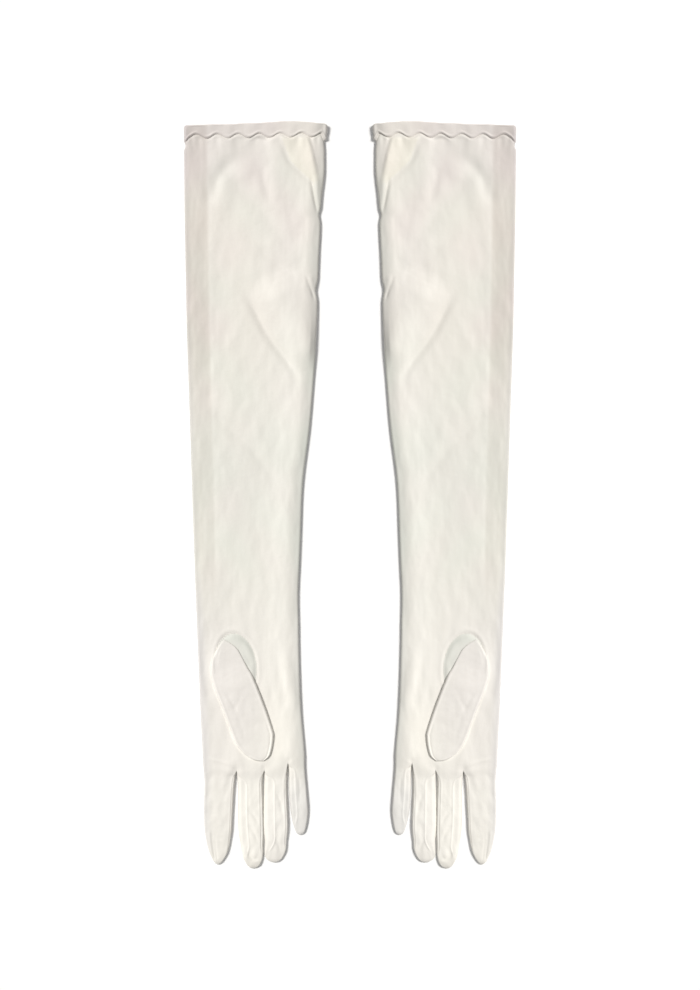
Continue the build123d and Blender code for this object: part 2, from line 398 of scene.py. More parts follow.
# Each crease: its path as (share across, distance below the start), where it starts, its depth and
# width, and the height and width of any bank on its left
CREASES = (
    (((0.43, -37), (0.47, -29), (0.55, -12), (0.659, 7), (0.79, 24), (0.90, 41)),
     "elbow", 1.7, 3.4, 3.4, 17.0),
    (((0.68, 2), (0.75, 20), (0.83, 29), (0.95, 41)), "hem", 0.9, 2.2),
    (((0.90, 30), (0.93, 42), (0.957, 53), (1.0, 66)), "hem", 1.2, 1.3, 0.8, 3.0),
    (((0.90, -46), (0.95, -37), (0.985, -24)), "elbow", 0.8, 1.1, 0.5, 2.4),
    (((0.10, 58), (0.348, 78), (0.513, 92), (0.613, 103), (0.80, 124)), "elbow", 0.7, 4.0, 0.8, 8.0),
    (((0.40, 14), (0.24, 34), (0.16, 60)), "hem", 0.9, 5.0, 0.6, 8.0),
    (((0.28, 20), (0.42, 44), (0.62, 66), (0.70, 90)), "hem", 0.6, 5.0, 0.8, 9.0),
    (((0.56, 20), (0.58, 40), (0.66, 58)), "hem", 0.5, 3.0, 0.5, 6.0),
    (((0.52, 86), (0.66, 100), (0.84, 112)), "hem", 0.5, 3.0, 0.8, 7.0),
    (((0.03, 125), (0.12, 127), (0.22, 129), (0.33, 133)), "wrist", -0.35, 1.2),
    (((0.10, 30), (0.06, 55), (0.10, 85)), "wrist", 0.6, 4.0, 0.5, 6.0),
    (((0.78, 40), (0.80, 62), (0.86, 90)), "wrist", 0.5, 4.0, 0.6, 6.0),
)
STARTS = {"hem": HEM_LINE, "elbow": ELBOW_Y, "wrist": WRIST_Y}

FACET_SLOPE = 9.0  # what the flat patch below the hem would rise over the sleeve's whole width

# Waves all over the cloth: height, pace along the arm as a share of that across it, length, and seed
CLOTH_RIPPLES = ((0.22, 0.5, 36, 21), (0.1, 0.5, 13, 22), (0.035, 0.4, 5, 23))


def crease(x, y, path, depth, width, bank=0.0, bank_width=1.0, ends=0.25):
    """A valley along a path with a raised bank on its left, fading over a share of it at both ends."""
    signed, share = along_path(x, y, path)
    fade = smooth(share, 0, ends) * smooth(1 - share, 0, ends)
    return (bank * bump(signed, 1.3 * bank_width, bank_width) - depth * bump(signed, 0, width)) * fade


def creases(x, y):
    z = 0
    for points, start, *shape in CREASES:
        ys = np.array([STARTS[start] - below for _, below in points])
        shares = np.array([share for share, _ in points])
        xs = fold_edge(ys) + shares * (seam_edge(ys) - fold_edge(ys))
        z = z + crease(x, y, curve(np.column_stack([xs, ys]), 24), *shape)
    return z


def hem_puckers(x, y):
    """Folds that fan down from the gathered stitching and fade along the upper arm."""
    below = np.clip(HEM_LINE - y, 0, None)
    turn = 2 * math.pi * (x - WAVE_START) / WAVE_PITCH
    uneven = 0.7 + 0.5 * ripple(x, 0 * x, 38, 11)
    small = 0.6 * ripple(x, y * 0.12, 6, 12) * np.exp(-below / 6)
    near = -0.4 * np.cos(turn) * uneven * np.exp(-below / 9)
    far = 0.6 * ripple(x, y * 0.16, 26, 3) * np.exp(-below / 45)
    return (small + near + far) * smooth(below, 0, 2.5)


def fold_band(x, y):
    """The strip along the fold lies a little lower, up to a soft ridge."""
    from_fold = x - fold_edge(y)
    ridge = band_width(y) + 0.8 * ripple(0 * y, y, 120, 31)
    fade = smooth(y, WRIST_Y - 20, WRIST_Y + 60)
    step = 0.2 * (1 - smooth(from_fold, ridge - 3.5, ridge + 3.5)) * smooth(from_fold, 0, 6)
    return fade * (0.08 * bump(from_fold, ridge + 2.5, 3.5) - step)


def hole_place(x, y):
    """How far out a point is from the middle of the thumb hole, as a share of its oval."""
    dx, dy = x - HOLE_MIDDLE[0], y - HOLE_MIDDLE[1]
    u = dx * math.cos(HOLE_LEAN) + dy * math.sin(HOLE_LEAN)
    v = dy * math.cos(HOLE_LEAN) - dx * math.sin(HOLE_LEAN)
    return np.hypot(u / HOLE_RADII[0], v / HOLE_RADII[1])


def facet(x, y):
    """A flat three-sided patch below the hem, near the seam: 1 inside it, and how far in from its left."""
    share = share_across(x, y)
    below = HEM_LINE - y
    left = np.interp(below, [0, 20, 29, 40], [0.69, 0.76, 0.84, 0.955])
    right = np.interp(below, [0, 40], [0.885, 0.965])
    inside = smooth(share, left - 0.006, left + 0.006) * (1 - smooth(share, right - 0.012, right + 0.02))
    return inside * smooth(below, 0, 3) * (1 - smooth(below, 34, 40)), share - left


def gusset_relief(x, y):
    """The gusset is puffed inside its seam, with a narrow ridge beside the thumb."""
    out = hole_place(x, y)
    z = HOLE_BULGE * (1 - smooth(out, 0.8, 1.0)) - 0.5 * bump(out, 1.0, 0.03) + 0.3 * bump(out, 1.12, 0.07)
    spot = np.stack([x, y], axis=-1) - THUMB_HINGE[:2]
    return z + crease(spot @ THUMB_ACROSS, spot @ THUMB_WAY, curve(GUSSET_RIDGE, 16), -0.35, 0.7)


def relief(x, y):
    """Height added to the upper layer."""
    patch, into = facet(x, y)
    z = hem_puckers(x, y) + fold_band(x, y) + creases(x, y) + gusset_relief(x, y)
    z = z + patch * FACET_SLOPE * np.clip(into, 0, 1)
    for height, pace, length, seed in CLOTH_RIPPLES:
        z = z + height * ripple(x, y * pace, length, seed)
    for cx, cy in CROTCHES:
        z = z - 0.7 * bump(np.hypot(x - cx, (y - cy) * 0.8), 0, 2.8)
        z = z + 0.3 * bump(np.hypot(x - cx, y - cy - 8), 0, 6)
    return z


def tube_heights(x, y, fold, seam):
    """Upper and lower heights of the flattened tube at x, between its fold and seam edges."""
    from_fold, from_seam = np.clip(x - fold, 0, None), np.clip(seam - x, 0, None)
    flat = rounded(from_fold / FOLD_RADIUS) * rounded(from_seam / SEAM_RADIUS)
    edge = FOLD_RADIUS + (SEAM_RADIUS - FOLD_RADIUS) * from_fold / (seam - fold)
    top = PALM_TOP - SEAM_SLOPE * (1 - smooth(from_seam, 0, SEAM_SLOPE_WIDTH))
    top = top - FOLD_SLOPE * (1 - smooth(from_fold, 0, FOLD_SLOPE_WIDTH))
    calm = smooth(from_fold, 0, 5) * smooth(from_seam, 0, 5)
    upper = edge + (top + relief(x, y) * (0.35 + 0.65 * calm) - edge) * flat
    return upper, edge * (1 - flat)


def palm_height(x, y):
    """The height of the upper layer at points on the sleeve or the hand."""
    return tube_heights(x, y, fold_edge(y), seam_edge(y))[0]


# --- The welded skin ---


class Skin:
    """Surfaces welded where they share points, with each face labelled by the piece it is in."""

    def __init__(self):
        self.points = []
        self.faces = []
        self.labels = []
        self.count = 0

    def add(self, grid, label):
        """Rows of points, each closed into a loop, with one label or one for each face."""
        rows, columns = grid.shape[:2]
        index = np.arange(rows * columns).reshape(rows, columns) + self.count
        after = np.roll(index, -1, axis=1)
        quads = np.stack([index[:-1], index[1:], after[1:], after[:-1]], axis=-1)
        self.points.append(grid.reshape(-1, 3))
        self.faces.append(quads.reshape(-1, 4))
        self.labels.append(np.broadcast_to(np.asarray(label, object), quads.shape[:2]).reshape(-1))
        self.count += rows * columns

    def weld(self):
        points = np.concatenate(self.points)
        faces = np.concatenate(self.faces)
        labels = np.concatenate(self.labels).astype(str)
        _, first, same = np.unique(np.round(points, 3), axis=0, return_index=True, return_inverse=True)
        faces = same.reshape(-1)[faces]
        crossed = (faces[:, 0] == faces[:, 2]) | (faces[:, 1] == faces[:, 3])
        distinct = (faces != np.roll(faces, 1, axis=1)).sum(1)
        kept = (distinct >= 3) & ~crossed
        self.points, self.faces, self.labels = points[first], faces[kept], labels[kept]
        self.normals = point_normals(self.points, self.faces)
        return self


def face_crosses(points, faces):
    """At right angles to each face, and as long as the face is large."""
    a, b, c, d = (points[faces[:, corner]] for corner in range(4))
    return np.cross(c - a, d - b)


def point_normals(points, faces):
    normals = np.zeros_like(points)
    crosses = face_crosses(points, faces)
    for corner in range(4):
        np.add.at(normals, faces[:, corner], crosses)
    return unit(normals)


def wave_line(x):
    """The wavy row of stitches, a little lower at the fold than at the seam."""
    share = share_across(x, HEM_LINE)
    ends = 1 - smooth(share, 0, 0.035) * smooth(1 - share, 0, 0.035)
    wave = WAVE_HEIGHT * np.cos(2 * math.pi * (x - WAVE_START) / WAVE_PITCH)
    return HEM_LINE - 0.9 + 1.7 * share + wave * (1 - ends) - 4.5 * ends


def root_line(x):
    """The line across the hand where the finger stalls start."""
    xs = [fold_edge(LAST_Y), *(cx for cx, _ in CROTCHES), seam_edge(LAST_Y)]
    ys = [LAST_Y + 1, *(cy for _, cy in CROTCHES), CROTCHES[-1][1] + CROTCH_DROP[-1] + 2]
    return np.interp(x, xs, ys)


def root_shares():
    """Each column's share across where the fingers start, gathered towards the crotches."""
    fold, seam = fold_edge(LAST_Y), seam_edge(LAST_Y)
    stops = [0.0, *((cx - fold) / (seam - fold) for cx, _ in CROTCHES), 1.0]
    shares = []
    for name, low, high in zip(FINGERS, stops, stops[1:]):
        shares.append((low + (high - low) * eased(FINGER_COLUMNS[name], GATHER))[:-1])
    return np.concatenate([*shares, [1.0]])


def trank():
    """The upper and lower sheets of the sleeve and hand, from the wavy stitching to the fingers."""
    near_hem = HEM_LINE - np.arange(0, 24, 0.8)
    last = np.linspace(LAST_Y + 9, LAST_Y, 10)
    count = round((near_hem[-1] - last[0]) / ROW_STEP)
    between = np.linspace(near_hem[-1], last[0], count + 1)[1:-1]
    rows = np.concatenate([near_hem, between, last])[:, None]
    fold, seam = fold_edge(rows), seam_edge(rows)
    near_root = smooth(LAST_Y + 60 - rows, 0, 56)
    shares = eased(ACROSS, GATHER) + (root_shares() - eased(ACROSS, GATHER)) * near_root
    x = fold + (seam - fold) * shares
    y = rows + (wave_line(x) - HEM_LINE) * (1 - smooth(HEM_LINE - rows, 0, 18))
    y = y + (root_line(x) - LAST_Y) * smooth(LAST_Y + 45 - rows, 0, 45)
    upper, lower = tube_heights(x, y, fold, seam)
    gathered = (1 - smooth(HEM_LINE - rows, 0, 2.0)) * rounded((x - fold) / 3) * rounded((seam - x) / 3)
    upper = upper - 0.7 * gathered
    return sheets(x, y, upper, lower)


def sheets(x, y, *heights):
    """A grid of points for each of these heights above the same places."""
    return [np.stack([x, y, z], axis=-1) for z in heights]


def ring(upper, lower):
    """One closed loop in each row, over the upper sheet and back under the lower one."""
    return np.concatenate([upper[:, :-1], lower[:, :0:-1]], axis=1)


def hem_layer(upper0, lower0, raised, inset, y):
    """One row of the casing at y: raised is 0 at its stitching and 1 in full, inset is from its outside."""
    x0 = upper0[:, 0]
    share = (x0 - x0[0]) / (x0[-1] - x0[0])
    low_x = x0[0] - FOLD_OVERHANG * raised[0] + inset
    high_x = x0[-1] + SEAM_OVERHANG * raised[-1] - inset
    x = low_x + (high_x - low_x) * share
    radius = 0.4 * HEM_TOP_Z
    flat = rounded((x - low_x) / radius) * rounded((high_x - x) / radius)
    gathers = 0.12 * ripple(x0, 0 * x0, 9, 41) + 0.2 * ripple(x0, 0.3 * y, 30, 42)
    full = HEM_TOP_Z - 0.7 * (1 - smooth(high_x - x, 0, 9)) + gathers
    top = upper0[:, 2] + (full - upper0[:, 2]) * raised
    middle = 0.42 * HEM_TOP_Z * raised + upper0[0, 2] * (1 - raised)
    upper = middle + (top - inset - middle) * flat
    lower = middle + (lower0[:, 2] + inset - middle) * flat
    joined = np.minimum(1.0, raised * 3)
    upper = upper0[:, 2] + (upper - upper0[:, 2]) * joined
    lower = lower0[:, 2] + (lower - lower0[:, 2]) * joined
    return sheets(x, y, upper, lower)


def hem_sheets(upper0, lower0, rows):
    """The upper and lower sheets that rows of the casing make."""
    layers = [hem_layer(upper0, lower0, *row) for row in rows]
    return (np.stack(sheet) for sheet in zip(*layers))


def top_edge(x0):
    """The hem's upper edge: it stands highest at three quarters of the width, with round corners."""
    share = (x0 - x0[0]) / (x0[-1] - x0[0])
    y = HEM_TOP - 2.6 + 1.5 * smooth(share, 0, 0.55) + 1.6 * bump(share, 0.74, 0.17)
    corner = rounded((x0 - x0[0]) / 2.0) * rounded((x0[-1] - x0) / 4.0)
    return y + 0.15 * ripple(x0, 0 * x0, 14, 43) - 1.8 * (1 - corner)


def casing_rise(y, stitched):
    """How much of its full height the casing has at y: it rises quickly from the stitching."""
    up = np.maximum(y - stitched, 0)
    return 0.6 * rounded(up / 1.5) + 0.4 * smooth(up, 0, 11) + 0.16 * bump(up, 1.7, 0.8)


def hem(upper0, lower0):
    """The casing from the end of its facing, inside, up and over the top edge to the stitching."""
    stitched, top = upper0[:, 1], top_edge(upper0[:, 0])
    roll = CASING / 2
    full = np.ones(len(top))
    rows = []
    for share in np.linspace(0, 1, 9)[:-1]:
        rows.append((full, CASING, HEM_LINE + 3.2 + (top - roll - HEM_LINE - 3.2) * share))
    for turn in np.linspace(0, math.pi, 8):
        rows.append((full, roll * (1 + math.cos(turn)), top - roll + roll * math.sin(turn)))
    for share in 1 - (1 - np.linspace(0, 1, 27)[1:]) ** 1.4:
        y = top - roll + (stitched - top + roll) * share
        rows.append((casing_rise(y, stitched), 0.0, y))
    upper, lower = hem_sheets(upper0, lower0, rows)
    upper[-1], lower[-1] = upper0, lower0
    return ring(upper, lower)


def elastic(upper0, lower0):
    """The ribbed elastic inside the casing, a closed band all round the mouth."""
    stitched, top = upper0[:, 1], top_edge(upper0[:, 0])
    low_y, high_y = HEM_LINE + 4.0, top - 1.8
    rows = []
    for turn in np.linspace(0, 2 * math.pi, 33):
        y = low_y + (high_y - low_y) * (0.5 + 0.5 * math.cos(turn))
        rib = 0.05 * math.cos(turn * 8)
        depth = CASING / 2 - (ELASTIC_THICK / 2 + rib) * np.clip(2.2 * math.sin(turn), -1, 1)
        rows.append((casing_rise(y, stitched), depth, y))
    skin = Skin()
    skin.add(ring(*hem_sheets(upper0, lower0, rows)), "elastic")
    return skin.weld()


class Finger:
    """One finger's rows of sections, from the crotches to its tip, and the lines of its seams."""

    def __init__(self, name):
        self.name = name
        place, self.way = hinge(f"{name}_flex")
        self.place = place[:2]
        self.across = np.array([-self.way[1], self.way[0]])
        nodes = [n for n in frame["nodes"] if n.startswith(f"right_{name}_") and "thread" not in n]
        corners = node_edges(nodes).reshape(-1, 3)
        drift, fuller, longer = FINGER_SHAPE[name]
        cad_length = float(((corners[:, :2] - self.place) @ self.way).max())
        self.length = cad_length + longer
        tip = self.length - TIP_ROUND * np.cos(np.linspace(0, math.pi / 2, 12))[1:]
        self.s = np.concatenate([np.linspace(-STUB, self.length - TIP_ROUND, 62), tip])
        even = np.linspace(-STUB, self.length, 160)  # evenly spaced, as blur() needs its values
        low, high = spans(nodes, self.place, self.way, np.clip(even, 0.4, cad_length - 0.2))
        end = np.clip((self.s - self.length) / TIP_CLOSING + 1, 0, 1)
        self.closing = np.sqrt(1 - end**2)
        swell = {-1: 0.0, 1: 0.0}
        for sign, centre, reach, amount in FINGER_SWELL[name]:
            swell[sign] = swell[sign] + amount * bump(self.s, centre, reach)
        self.middle = np.interp(self.s, even, (low + high) / 2) + (swell[1] - swell[-1]) / 2
        self.middle = self.middle + drift * smooth(self.s, 0, self.length * 0.55)
        fullness = 1 + fuller * smooth(self.s, self.length - 20, self.length - 4)
        half = np.interp(self.s, even, blur((high - low) / 2, 5)) * fullness + (swell[-1] + swell[1]) / 2
        self.half = half * self.closing
        grow = smooth(self.s, -STUB - 1, 1) * (1 - smooth(self.s, self.length - 20, self.length))
        self.strip = grow * self.half / self.half[12]  # 1 near the hinge
        thick = STALL_TOP - (STALL_TOP - TIP_TOP) * smooth(self.s, self.length * 0.5, self.length)
        self.thick = thick * self.closing
        self.level = 0.44 * self.thick

    def height(self, c, upper):
        """The height of the finger's palm side or back at c from its middle line."""
        half = self.half[:, None]
        radius = np.maximum(np.minimum(1.1, half * 0.8), 1e-6)
        flat = rounded((c + half) / radius) * rounded((half - c) / radius)
        level = self.level[:, None]
        if not upper:
            return level * (1 - flat)
        crown = 0.25 * np.clip(1 - (c / np.maximum(half, 1e-6)) ** 2, 0, 1) * self.closing[:, None]
        s = np.broadcast_to(self.s[:, None], c.shape)
        x = c + self.place[0]
        wrinkles = 0.14 * ripple(x, s * 0.6, 9, 51) + 0.04 * ripple(x, s, 4, 52)
        for path, depth, width in FINGER_CREASES[self.name]:
            wrinkles = wrinkles + crease(c, s, curve(path, 16), depth, width, 0.5 * depth, 1.6 * width)
        top = self.thick[:, None] - 0.3 + crown + wrinkles + self.seam_relief(c)
        return level + (top - level) * flat

    def seam_relief(self, c):
        """The palm panel ends in a small ridge at each fourchette, which lies a little lower."""
        z = 0
        fade = smooth(self.s, -STUB, 3 - STUB) * (1 - smooth(self.s, self.length - 13, self.length - 8))
        for width, sign in zip(STRIPS[self.name], (-1, 1)):
            if width:
                inward = self.half[:, None] - width * self.strip[:, None] - sign * c
                drop, ridge = (0.22, 0.2) if sign < 0 else (0.1, 0.12)
                z = z + drop * (smooth(inward, -0.4, 0.4) - 1) + ridge * bump(inward, 0.9, 0.5)
        return z * fade[:, None]

    def panel(self, left, right, upper):
        t = eased(FINGER_COLUMNS[self.name], GATHER)[None, :]
        c = (left - self.half)[:, None] + (2 * self.half - left - right)[:, None] * t
        return c, self.height(c, upper)

    def edge(self, top, back, sign):
        """Around one side, from the palm seam to the back seam."""
        turn = np.linspace(0, math.pi / 2, SIDE_COLUMNS // 2 + 1)
        over = self.half[:, None] - top[:, None] * np.cos(turn)
        under = self.half[:, None] - back[:, None] * np.sin(turn[1:])
        z = np.concatenate([self.height(sign * over, True), self.height(sign * under, False)], axis=1)
        return sign * np.concatenate([over, under], axis=1), z

    def parts(self, root_upper, root_lower):
        """The surfaces around the finger, each with its label and the row it grows from."""
        left, right = (width * self.strip for width in STRIPS[self.name])
        back_left, back_right = (width * self.strip for width in BACK_STRIPS[self.name])
        down = np.linspace(0, 1, SIDE_COLUMNS + 1)[:, None]
        back_c, back_z = self.panel(back_left, back_right, False)
        parts = [(*self.panel(left, right, True), "stall", root_upper)]
        if right.any():
            web = root_upper[-1] + (root_lower[-1] - root_upper[-1]) * down
            parts.append((*self.edge(right, back_right, 1), "ulnar_fourchette", web))
        parts.append((back_c[:, ::-1], back_z[:, ::-1], "stall", root_lower[::-1]))
        if left.any():
            web = root_upper[0] + (root_lower[0] - root_upper[0]) * down
            c, z = self.edge(left, back_left, -1)
            parts.append((c[:, ::-1], z[:, ::-1], "radial_fourchette", web[::-1]))
        return parts

    def build(self, skin, root_upper, root_lower):
        """Adds the finger to a skin and gives back the lines of its seams."""
        s, name = self.s, self.name
        opening = (s + STUB)[:, None]
        sideways, fade = (1 - np.clip(opening / 14, 0, 1)) ** 1.7, 1 - smooth(opening, 0, 10)
        groove = GROOVE * smooth(s, -STUB, 2 - STUB)
        groove = groove * (1 - smooth(s, self.length - 15, self.length - TIP_BLOCK))
        inside = s[:-1] < self.length - TIP_BLOCK
        grids, labels, seams = [], [], []
        column = 0
        for c, z, label, root in self.parts(root_upper, root_lower):
            root_c = (root[:, :2] - self.place) @ self.across
            root_s = (root[:, :2] - self.place) @ self.way
            c = (c + self.middle[:, None]) * (1 - sideways) + root_c * sideways
            z = z * (1 - fade) + root[:, 2] * fade
            if column:
                z[:, 0] -= np.where(z[:, 0] > self.level, groove, -groove)
                seams.append(column)
            along = s[:, None] + (root_s + STUB) * fade
            flat = self.place + along[..., None] * self.way + c[..., None] * self.across
            grids.append(np.concatenate([flat, z[..., None]], axis=-1)[:, :-1])
            rows = np.where(inside, f"{name}_{label}", f"{name}_stall").astype(object)
            labels.append(np.repeat(rows[:, None], len(root) - 1, axis=1))
            column += len(root) - 1
        grid = np.concatenate(grids, axis=1)
        skin.add(grid, np.concatenate(labels, axis=1))
        reach = s < self.length - TIP_BLOCK + 1
        return [grid[reach][:, column] for column in seams]


def glove_skin():
    """The welded skin of the right-hand glove, with the seam lines that its stitches follow."""
    upper, lower = trank()
    skin = Skin()
    loops = ring(upper, lower)
    middle = (loops[:-1] + loops[1:]) / 2
    labels = np.where(middle[:, :1, 1] > SPLIT_Y, "sleeve", "hand").astype(object)
    labels = np.repeat(labels, loops.shape[1], axis=1)
    centre = (middle + np.roll(middle, -1, axis=1)) / 2
    on_top = np.arange(loops.shape[1]) < ACROSS
    gusset = (hole_place(centre[..., 0], centre[..., 1]) < 1) & on_top
    labels[gusset] = "gusset"
    settle_on_oval(loops, gusset)
    skin.add(loops, labels)
    skin.add(hem(upper[0], lower[0]), "casing")
    seams = {"wave": [upper[0], lower[0]], "side": upper[:, -1]}
    start = 0
    for name in FINGERS:
        stop = start + FINGER_COLUMNS[name]
        finger = Finger(name)
        seams[name] = finger.build(skin, upper[-1, start : stop + 1], lower[-1, start : stop + 1])
        start = stop
    seams["little"].append(outer_edge(skin.points[-1], finger))
    return skin.weld(), seams, upper[0], lower[0]


def outer_edge(points, finger):
    """The side seam runs on along the little finger's outer edge, almost to its tip."""
    rows = len(finger.s)
    return points.reshape(rows, -1, 3)[: rows - 8, FINGER_COLUMNS[finger.name]]


def settle_on_oval(loops, gusset):
    """Moves the points around the gusset onto the thumb hole's oval."""
    inside = np.zeros(loops.shape[:2], bool)
    outside = np.zeros(loops.shape[:2], bool)
    for mark, faces in ((inside, gusset), (outside, ~gusset)):
        for down in (0, 1):
            for right in (0, 1):
                shifted = np.roll(faces, right, axis=1)
                mark[down : down + len(faces)] |= shifted
    rim = inside & outside
    places = loops[rim, :2]
    out = hole_place(*places.T)[:, None]
    x, y = (HOLE_MIDDLE + (places - HOLE_MIDDLE) / out).T
    loops[rim] = np.column_stack([x, y, palm_height(x, y)])


def thumb_skin():
    """The thumb stall as a flattened pouch that leaves the hole and lies on the palm."""
    left, right = curve(THUMB_LEFT, THUMB_ROWS), curve(THUMB_RIGHT, THUMB_ROWS)
    u = eased(THUMB_COLUMNS, GATHER)[:, None]
    flat = left[:, None] + (right - left)[:, None] * u
    width = np.linalg.norm(right - left, axis=1)[:, None]
    place = THUMB_HINGE[:2] + flat[..., :1] * THUMB_ACROSS + flat[..., 1:] * THUMB_WAY
    heights = thumb_heights(place, flat, width, u[:, 0])
    upper, lower = sheets(place[..., 0], place[..., 1], *heights)
    upper[[0, -1]] = upper[[0, -1]].mean(axis=1, keepdims=True)
    lower[[0, -1]] = upper[[0, -1]]
    skin = Skin()
    skin.add(ring(upper, lower), "thumb_stall")
    closing = upper[24:-6, THUMB_COLUMNS - 3]  # the closing seam, just in from the right edge
    return skin.weld(), [closing]


def thumb_heights(place, flat, width, u):
    """Upper and lower heights of the thumb where it rests on the palm, drawn in along its outline."""
    x, y, along = place[..., 0], place[..., 1], flat[..., 1]
    from_left, from_right = width * u, width * (1 - u)
    left_radius, right_radius = (np.maximum(np.minimum(r, 0.4 * width), 1e-6) for r in THUMB_RADII)
    rise = smooth(along, -8, 26)
    thick = (1.0 + (THUMB_THICK - 1.0) * rise) * (1 - 0.35 * smooth(along, 40, 80))
    floor = palm_height(x, y) + 0.25
    edge = floor + 0.2 * thick
    rest_height = PALM_TOP + HOLE_BULGE * (1 - smooth(hole_place(x, y), 0.5, 1.4))
    top = np.maximum(rest_height + thick, floor + 0.7)
    ridges = 0.3 * bump(from_right, 1.6, 0.9) + 0.25 * bump(from_left, 1.5, 0.8)
    top = top + rise * (ridges - 0.3 * (1 - smooth(from_left, 0, 6)))
    top = top + thumb_relief(x, y, flat[..., 0], along, from_right)
    down = np.linspace(0, 1, THUMB_ROWS + 1)[:, None]
    flatness = rounded(from_left / left_radius) * rounded(from_right / right_radius)
    flatness = flatness * rounded(14 * np.minimum(down, 1 - down))
    return edge + (top - edge) * flatness, edge + (floor - edge) * flatness


def thumb_relief(x, y, across, along, from_right):
    """Small folds in the middle of the thumb and the line where it is closed."""
    z = 0.12 * ripple(x, y, 17, 61) + 0.04 * ripple(x, y, 7, 62)
    for path, depth, width in THUMB_CREASES:
        z = z + crease(across, along, curve(path, 16), depth, width, ends=0.3)
    return z - 0.45 * bump(from_right, 2.8, 0.6) * smooth(along, 48, 58)


# --- Colour of the cloth, with painted light and shade ---

SATIN = np.array([0.755, 0.725, 0.672])

# How far each piece's or finger's colour is shifted from the satin's, in red, green and blue (the gusset's
# shift is painted shade)
PLAIN = (0.0, 0.0, 0.0)
# painted shade: the gusset sits lower than the palm and is drawn darker and a little greener, as under the
# palm's lip
GUSSET_PAINTED_SHADE = (-0.08, -0.05, -0.055)
THUMB_TONE = (-0.03, -0.03, -0.022)
HEM_TONE = (-0.03, -0.04, -0.03)
FINGER_TONES = ((0.01, 0.015, 0.01), (0.055, 0.06, 0.05), (0.045, 0.05, 0.05), (-0.055, -0.04, -0.02))
# painted shade: each fingertip is drawn darker towards its end, where the cloth folds over
TIP_PAINTED_SHADE = ((-0.035, 14), (-0.1, 13), (-0.075, 24), (0, 12))  # each: how much darker, and how far up
TIPS_Y = [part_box(f"right_{name}_stall")[0].y / MM for name in FINGERS]


def arm_tones_and_painted_light(x, y):
    """Changes of tone along the sleeve, among them painted shade at both edges and a painted highlight
    below the hem: how strong each is at a point, and what it adds there.
    """
    from_fold, share = x - fold_edge(y), np.clip(share_across(x, y), 0, 1)
    on_arm = smooth(y, WRIST_Y - 30, WRIST_Y + 50)
    upper_arm = smooth(y, ELBOW_Y - 70, ELBOW_Y)
    by_hem = smooth(y, HEM_LINE - 75, HEM_LINE - 20)
    band = (1 - smooth(from_fold - band_width(y), -1.5, 1.5)) * on_arm
    # painted shade: darker where the cloth rolls over at the fold edge
    near_fold_shade = 1 - smooth(from_fold, 0, 9 - 4 * on_arm)
    # painted shade: darker along the seam edge, where the cloth curves down away from the light
    near_seam_shade = (1 - smooth(1 - share, 0, 0.1)) * smooth(y, LAST_Y - 20, LAST_Y)
    below_hem = smooth(y, HEM_LINE - 65, HEM_LINE - 20) * (1 - smooth(share, 0.5, 0.8))
    by_seam = bump(share, 0.82, 0.13) * smooth(y, LAST_Y, WRIST_Y) * (1 - smooth(y, ELBOW_Y + 60, HEM_LINE))
    return (
        # painted highlight: the flat patch below the hem is drawn lighter and warmer, as where it faces the
        # light
        (facet(x, y)[0], (0.022, 0.018, -0.012)),
        (band * (1 + 0.8 * upper_arm - 0.5 * by_hem), (-0.065, -0.07, -0.07)),
        (near_fold_shade * (1.6 - 0.6 * on_arm), (-0.075, -0.07, -0.05)),
        (near_seam_shade, (-0.13, -0.11, -0.1)),
        (below_hem, (-0.045, -0.05, -0.03)),
        (by_seam, (0.055, 0.055, 0.055)),
        (upper_arm, (-0.012, -0.015, -0.018)),
        (bump(y, SPLIT_Y - 10, 95), (-0.02, 0.0, -0.01)),
        (ripple(x, y * 0.5, 70, 71), (0.008, 0.01, 0.006)),
        (ripple(x, y, 46, 72) * on_arm, (0.006, -0.003, 0.001)),
        (ripple(x, y * 0.12, 5, 73), (0.008, 0.008, 0.008)),
    )


